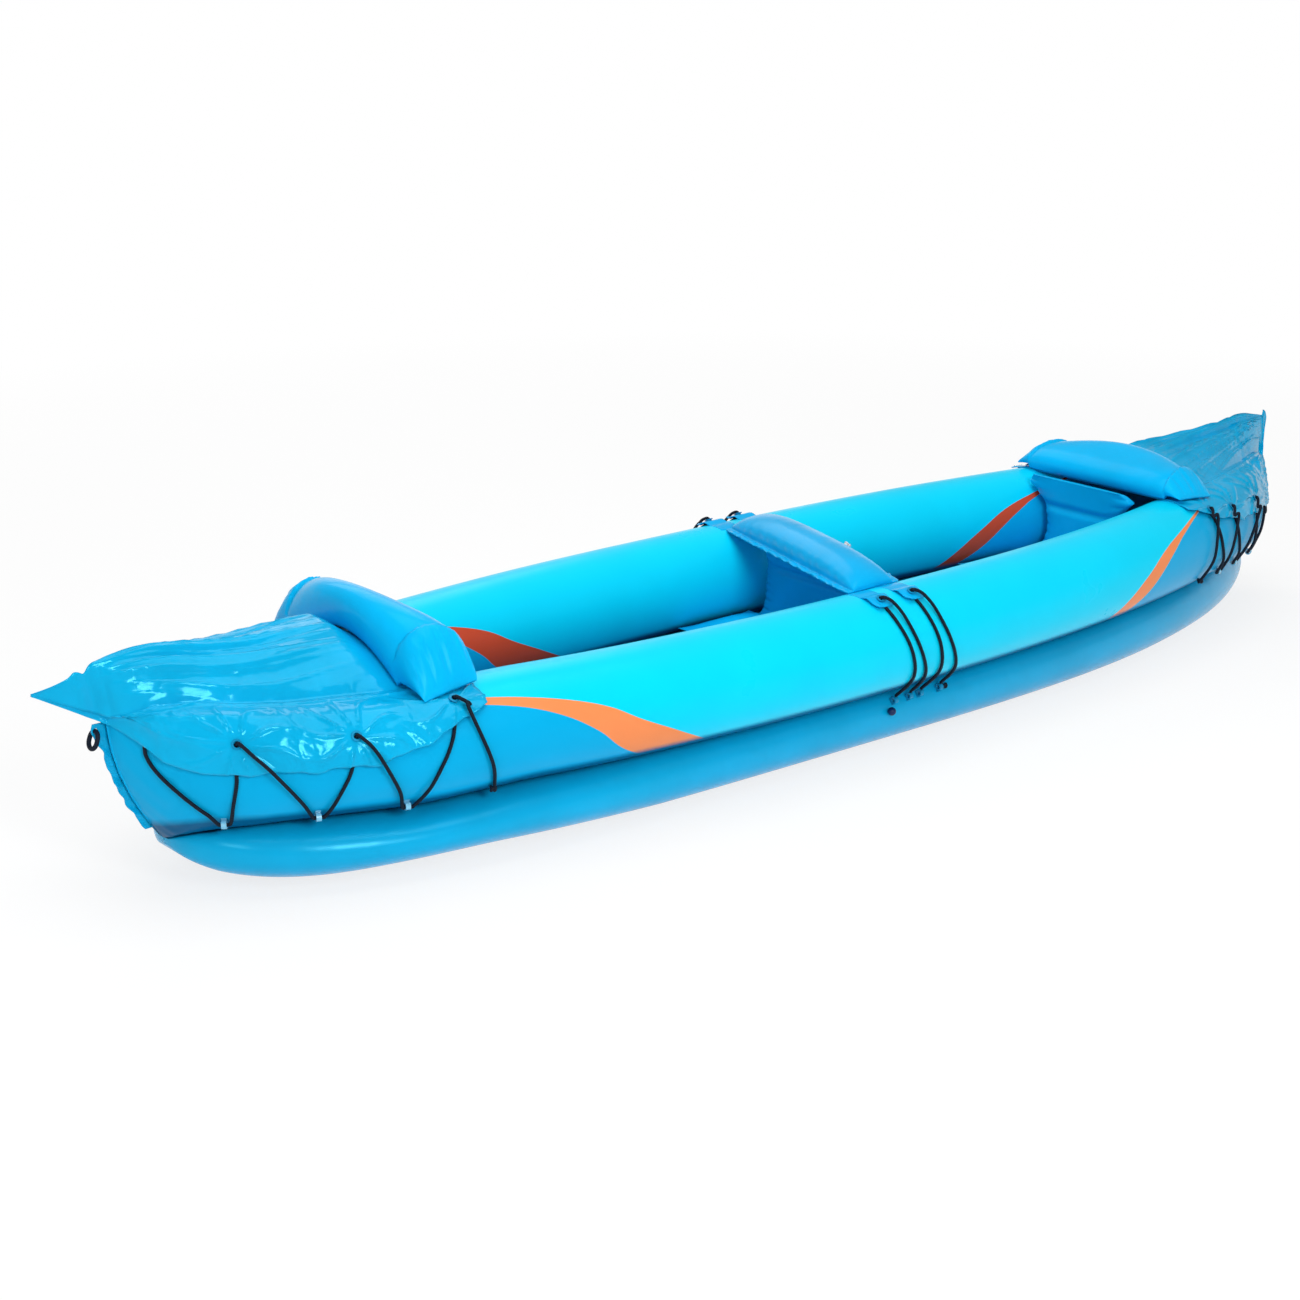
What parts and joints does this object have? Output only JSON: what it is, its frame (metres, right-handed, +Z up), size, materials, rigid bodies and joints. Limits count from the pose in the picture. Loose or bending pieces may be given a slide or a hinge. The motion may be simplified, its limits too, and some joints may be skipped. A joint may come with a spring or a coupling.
{
  "type": "inflatable tandem kayak",
  "caption": "Inflatable kayak for paddlers in line: side tubes on a ribbed bottom chamber, laced spray decks with rolls, tied thwart pad and seats.",
  "frame": {"origin": "on the floor under the hull, at the middle of its bounding box", "axes": "+X to the bow, +Y to port, +Z up"},
  "size_m": [3.2681, 0.7865, 0.4716],
  "materials": {
    "hull_film": "welded PVC film, glossy mid blue",
    "tube_film": "welded PVC film, light blue amidships, mid blue at the ends",
    "deck_film": "thin glossy PVC film, mid blue",
    "cord": "black woven cord",
    "ball": "dark blue moulded plastic",
    "clear": "pale translucent moulded plastic",
    "valve": "pale grey moulded plastic"
  },
  "bodies": {
    "hull": {"bottom_chamber": "hull_film", "port_side_tube": "tube_film", "starboard_side_tube": "tube_film", "port_seam_strip": "hull_film", "starboard_seam_strip": "hull_film", "bow_stem_flange": "hull_film", "stern_stem_flange": "hull_film", "bow_deck": "deck_film", "stern_deck": "deck_film", "bow_roll": "deck_film", "stern_roll": "deck_film", "bow_deck_eyelets": "clear", "stern_deck_eyelets": "clear", "bow_lacing_loops": "clear", "stern_lacing_loops": "clear", "bow_port_lacing": "cord", "bow_starboard_lacing": "cord", "stern_port_lacing": "cord", "stern_starboard_lacing": "cord", "lacing_knots": "cord", "thwart_pad": "deck_film", "thwart_port_flaps": "deck_film", "thwart_starboard_flaps": "deck_film", "thwart_eyelets": "clear", "thwart_tie_loops": "clear", "thwart_port_ties": "cord", "thwart_starboard_ties": "cord", "tie_ball_stops": "ball", "tie_knots": "cord", "front_seat_cushion": "deck_film", "rear_seat_cushion": "deck_film", "port_valve_base": "valve", "starboard_valve_base": "valve", "floor_valve_base": "valve", "valve_flaps": "valve", "small_valve_stems": "valve"},
    "front_backrest": {"front_backrest": "hull_film", "front_backrest_valve_stem": "valve"},
    "rear_backrest": {"rear_backrest": "deck_film", "rear_backrest_valve_stem": "valve"},
    "port_valve_cap": {"port_valve_cap": "valve"},
    "starboard_valve_cap": {"starboard_valve_cap": "valve"},
    "floor_valve_cap": {"floor_valve_cap": "valve"},
    "bow_roll_valve_plug": {"bow_roll_valve_plug": "valve"},
    "stern_roll_valve_plug": {"stern_roll_valve_plug": "valve"},
    "thwart_valve_plug": {"thwart_valve_plug": "valve"},
    "front_seat_valve_plug": {"front_seat_valve_plug": "valve"},
    "rear_seat_valve_plug": {"rear_seat_valve_plug": "valve"},
    "front_backrest_valve_plug": {"front_backrest_valve_plug": "valve"},
    "rear_backrest_valve_plug": {"rear_backrest_valve_plug": "valve"},
    "bow_grab_loop": {"bow_grab_loop": "cord"},
    "stern_grab_loop": {"stern_grab_loop": "cord"}
  },
  "joints": [
    {"name": "front_backrest_fold", "type": "hinge", "parent": "hull", "child": "front_backrest", "pos_m": [-0.11525, 0, 0.1633], "axis": [0, 1, 0], "range_deg": [0, 40]},
    {"name": "rear_backrest_fold", "type": "hinge", "parent": "hull", "child": "rear_backrest", "pos_m": [-0.92525, 0, 0.16459], "axis": [0, 1, 0], "range_deg": [0, 40]},
    {"name": "port_valve_cap_swing", "type": "hinge", "parent": "hull", "child": "port_valve_cap", "pos_m": [0.98271, 0.09345, 0.24528], "axis": [0, 0.1392, 0.9903], "range_deg": [0, 150]},
    {"name": "starboard_valve_cap_swing", "type": "hinge", "parent": "hull", "child": "starboard_valve_cap", "pos_m": [0.98271, -0.09345, 0.24528], "axis": [0, 0.1392, -0.9903], "range_deg": [0, 150]},
    {"name": "floor_valve_cap_swing", "type": "hinge", "parent": "hull", "child": "floor_valve_cap", "pos_m": [0.713, 0.14653, 0.12978], "axis": [0, 1, 0], "range_deg": [0, 150]},
    {"name": "bow_roll_valve_plug_swing", "type": "hinge", "parent": "hull", "child": "bow_roll_valve_plug", "pos_m": [0.89878, 0.011, 0.39572], "axis": [-0.1736, 0, -0.9848], "range_deg": [0, 150]},
    {"name": "stern_roll_valve_plug_swing", "type": "hinge", "parent": "hull", "child": "stern_roll_valve_plug", "pos_m": [-1.13123, 0.011, 0.39681], "axis": [-0.1736, 0, -0.9848], "range_deg": [0, 150]},
    {"name": "thwart_valve_plug_swing", "type": "hinge", "parent": "hull", "child": "thwart_valve_plug", "pos_m": [-0.14847, 0.071, 0.35789], "axis": [-0.4711, 0, -0.8821], "range_deg": [0, 150]},
    {"name": "front_seat_valve_plug_swing", "type": "hinge", "parent": "hull", "child": "front_seat_valve_plug", "pos_m": [0.06406, 0.09998, 0.17743], "axis": [-0.6606, 0, 0.7507], "range_deg": [0, 150]},
    {"name": "rear_seat_valve_plug_swing", "type": "hinge", "parent": "hull", "child": "rear_seat_valve_plug", "pos_m": [-0.74594, 0.07085, 0.17872], "axis": [-0.6606, 0, 0.7507], "range_deg": [0, 150]},
    {"name": "front_backrest_valve_plug_swing", "type": "hinge", "parent": "front_backrest", "child": "front_backrest_valve_plug", "pos_m": [-0.1909, 0.041, 0.24565], "axis": [0, 0, -1], "range_deg": [0, 150]},
    {"name": "rear_backrest_valve_plug_swing", "type": "hinge", "parent": "rear_backrest", "child": "rear_backrest_valve_plug", "pos_m": [-1.0009, 0.041, 0.25729], "axis": [0, 0, -1], "range_deg": [0, 150]},
    {"name": "bow_grab_loop_swing", "type": "hinge", "parent": "hull", "child": "bow_grab_loop", "pos_m": [1.51709, 0, 0.31699], "axis": [0, -1, 0], "range_deg": [0, 60]},
    {"name": "stern_grab_loop_swing", "type": "hinge", "parent": "hull", "child": "stern_grab_loop", "pos_m": [-1.62081, 0, 0.24973], "axis": [0, 1, 0], "range_deg": [0, 60]}
  ]
}
